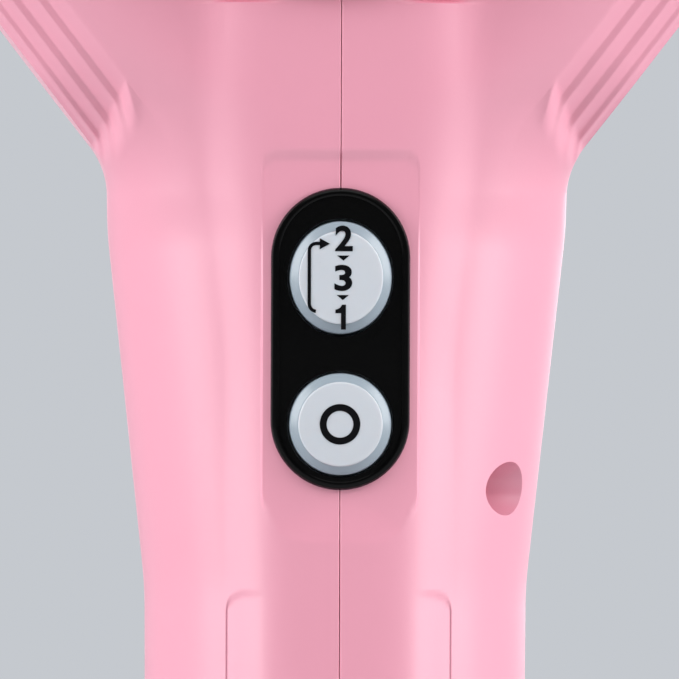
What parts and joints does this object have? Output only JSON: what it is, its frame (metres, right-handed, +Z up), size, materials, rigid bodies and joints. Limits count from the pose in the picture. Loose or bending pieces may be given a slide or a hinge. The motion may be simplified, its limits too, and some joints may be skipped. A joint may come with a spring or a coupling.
{
  "type": "travel hair dryer",
  "caption": "Small hair dryer with a two-half casing, flared neck, push-button panel, barrel, and a pull-off turning nozzle.",
  "frame": {"origin": "on the ground under the middle of the dryer's bounding box, at the height of the handle's end", "axes": "+Z up the handle towards the head, +Y the way the air is blown, -Y the thumb side with the control panel, +X the right half seen from the thumb side"},
  "size_m": [0.079, 0.152, 0.1935],
  "materials": {
    "casing_pink": "satin to gloss moulded ABS, fine texture",
    "trim_pink": "satin moulded ABS",
    "panel_black": "satin black moulding",
    "button_milk": "milky bluish white, slightly translucent",
    "ring_white": "gloss white heat-resistant resin",
    "nozzle_black": "matt heat-resistant resin",
    "bush_rubber": "matt",
    "steel": "plain",
    "aluminium": "plain",
    "inner_plastic_dark": "plain",
    "inner_plastic_light": "plain",
    "capacitor_yellow": "plain",
    "board_green": "glass-fibre board",
    "winding_copper": "enamelled copper on laminations",
    "mica": "pressed mica",
    "heater_wire": "resistance wire"
  },
  "bodies": {
    "casing": {"left_shell": "casing_pink", "right_shell": "casing_pink", "barrel": "casing_pink", "end_cap": "trim_pink", "control_bezel": "panel_black", "front_ring": "ring_white", "outlet_grille": "nozzle_black", "cord_gland": "bush_rubber", "casing_screw_upper": "steel", "casing_screw_lower": "steel", "clamp_screw_back": "steel", "clamp_screw_front": "steel", "motor_can": "steel", "heat_sink": "aluminium", "fan_housing": "inner_plastic_dark", "speed_switch": "inner_plastic_dark", "off_switch": "inner_plastic_dark", "triac": "inner_plastic_dark", "motor_magnets": "inner_plastic_dark", "cord_clamp": "inner_plastic_light", "terminal_block": "inner_plastic_light", "motor_end_bell": "inner_plastic_light", "thermostat": "inner_plastic_light", "suppression_capacitor": "capacitor_yellow", "mains_board": "board_green", "control_board": "board_green", "rectifier_board": "board_green", "mica_board_upright": "mica", "mica_board_cross": "mica", "mica_sleeve": "mica", "heater_coil_back": "heater_wire", "heater_coil_front": "heater_wire", "thermal_fuse": "heater_wire"},
    "speed_key": {"speed_button": "button_milk", "speed_plunger": "inner_plastic_light"},
    "off_key": {"off_button": "button_milk", "off_plunger": "inner_plastic_light"},
    "rotor": {"fan_impeller": "inner_plastic_dark", "motor_shaft": "steel", "armature": "winding_copper"},
    "rear_cover": {"intake_cover": "trim_pink", "lint_filter": "steel"},
    "nozzle_base": {"nozzle_ring": "nozzle_black"},
    "nozzle_tip": {"nozzle_spout": "nozzle_black"}
  },
  "joints": [
    {"name": "speed_press", "type": "slide", "parent": "casing", "child": "speed_key", "axis": [0, 1, 0], "range_m": [0, 0.0008], "stiffness_N_per_m": 1500},
    {"name": "off_press", "type": "slide", "parent": "casing", "child": "off_key", "axis": [0, 1, 0], "range_m": [0, 0.0008], "stiffness_N_per_m": 1500},
    {"name": "fan_spin", "type": "hinge", "parent": "casing", "child": "rotor", "pos_m": [0, 0, 0.154], "axis": [0, 1, 0], "continuous": true},
    {"name": "cover_pull", "type": "slide", "parent": "casing", "child": "rear_cover", "axis": [0, -1, 0], "range_m": [0, 0.02]},
    {"name": "nozzle_pull", "type": "slide", "parent": "casing", "child": "nozzle_base", "axis": [0, 1, 0], "range_m": [0, 0.02]},
    {"name": "nozzle_turn", "type": "hinge", "parent": "nozzle_base", "child": "nozzle_tip", "pos_m": [0, 0, 0.154], "axis": [0, 1, 0], "continuous": true}
  ]
}
